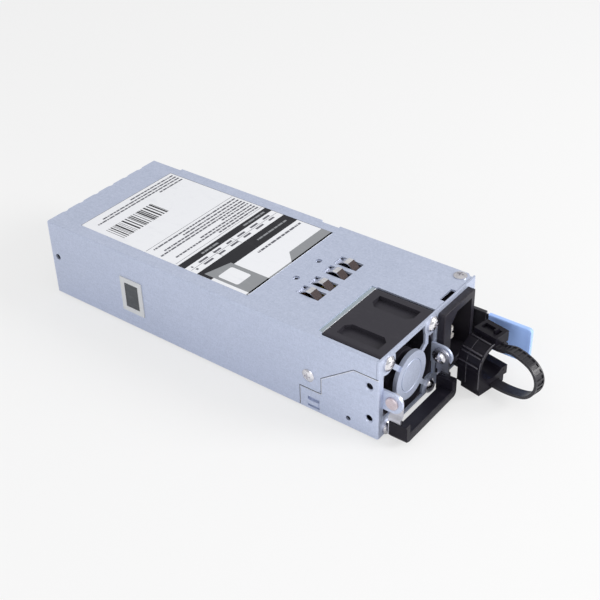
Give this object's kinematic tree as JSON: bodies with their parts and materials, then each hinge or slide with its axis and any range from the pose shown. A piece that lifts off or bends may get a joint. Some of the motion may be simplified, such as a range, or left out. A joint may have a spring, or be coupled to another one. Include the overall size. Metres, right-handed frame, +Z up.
{
  "type": "hot swap server power supply",
  "caption": "Slim steel power module with a fan, inlet socket, fold-down handle, release lever, cord clamp and card-edge connector.",
  "frame": {"origin": "centre of the underside of the case", "axes": "+X to the right seen from the front plate, +Y from the front plate to the card edge, +Z up"},
  "size_m": [0.0764, 0.2373, 0.0413],
  "materials": {
    "case_steel": "zinc-plated, satin",
    "screw_steel": "bright",
    "rivet_steel": "satin",
    "spring_steel": "bright",
    "lever_steel": "satin",
    "bracket_steel": "satin",
    "fan_plastic": "moulded",
    "handle_plastic": "moulded",
    "inlet_plastic": "moulded",
    "clamp_plastic": "moulded",
    "strap_plastic": "moulded",
    "sleeve_plastic": "moulded",
    "blue_plastic": "moulded",
    "label_film": "printed film",
    "window_trim": "satin",
    "window_film": "smooth",
    "board_laminate": "solder mask",
    "gold_plate": "gold-plated",
    "copper": "enamelled wire",
    "ferrite": "matt",
    "aluminium": "extruded",
    "sleeve_film": "shrink sleeve",
    "part_plastic": "moulded",
    "relay_plastic": "moulded",
    "film_box": "moulded",
    "glass_tube": "clear",
    "lead_cover": "sleeved wire",
    "brass": "turned",
    "pin_metal": "plated",
    "insulating_film": "sheet",
    "magnet": "moulded ferrite"
  },
  "bodies": {
    "case": {"top_cover": "case_steel", "chassis": "case_steel", "cover_screw_top": "screw_steel", "cover_screw_side": "screw_steel", "fan_frame": "fan_plastic", "fan_bearings": "brass", "fan_stator": "copper", "fan_screws": "screw_steel", "handle_rivet": "rivet_steel", "handle_screw": "screw_steel", "inlet_body": "inlet_plastic", "inlet_pins": "pin_metal", "lever_bracket": "bracket_steel", "lever_pin": "screw_steel", "cord_strap": "strap_plastic", "ground_spring_left": "spring_steel", "ground_spring_right": "spring_steel", "main_board": "board_laminate", "gold_fingers": "gold_plate", "standoffs": "brass", "board_screws": "screw_steel", "insulator": "insulating_film", "bulk_capacitor_front": "sleeve_film", "bulk_capacitor_rear": "sleeve_film", "pfc_choke": "copper", "filter_choke_left": "copper", "filter_choke_right": "copper", "transformer_core": "ferrite", "transformer_winding": "copper", "primary_heatsink": "aluminium", "secondary_heatsink": "aluminium", "power_transistors": "part_plastic", "resonant_inductor": "ferrite", "relay": "relay_plastic", "film_capacitors": "film_box", "fuse": "glass_tube", "output_capacitors": "aluminium", "control_board": "board_laminate", "fan_leads": "lead_cover", "inlet_leads": "lead_cover", "rating_label": "label_film", "window_frame": "window_trim", "window_pane": "window_film"},
    "rotor": {"fan_rotor": "fan_plastic", "fan_shaft": "screw_steel", "fan_magnet": "magnet"},
    "handle": {"handle_bracket": "bracket_steel", "handle_grip": "handle_plastic"},
    "lever": {"lever_leaf": "lever_steel", "lever_sleeve": "sleeve_plastic", "lever_grip": "blue_plastic", "lever_tooth": "lever_steel"},
    "clamp": {"clamp_body": "clamp_plastic"},
    "pawl": {"clamp_pawl": "clamp_plastic"}
  },
  "joints": [
    {"name": "fan_spin", "type": "hinge", "parent": "case", "child": "rotor", "pos_m": [-0.0145, -0.0775, 0.0191], "axis": [0, 1, 0], "continuous": true},
    {"name": "handle_fold", "type": "hinge", "parent": "case", "child": "handle", "pos_m": [-0.0145, -0.0969, 0.0191], "axis": [-1, 0, 0], "range_deg": [0, 90]},
    {"name": "lever_press", "type": "hinge", "parent": "case", "child": "lever", "pos_m": [0.033, -0.046, 0.0158], "axis": [0, 0, -1], "range_deg": [0, 2.5], "stiffness_Nm_per_rad": 1, "springref_deg": -1.15},
    {"name": "clamp_slide", "type": "slide", "parent": "case", "child": "clamp", "axis": [0.1908, 0.9816, 0], "range_m": [0, 0.0045]},
    {"name": "pawl_lift", "type": "hinge", "parent": "clamp", "child": "pawl", "pos_m": [0.02258, -0.10636, 0.02525], "axis": [-0.9816, 0.1908, 0], "range_deg": [0, 15], "stiffness_Nm_per_rad": 0.02, "springref_deg": -5.73}
  ]
}
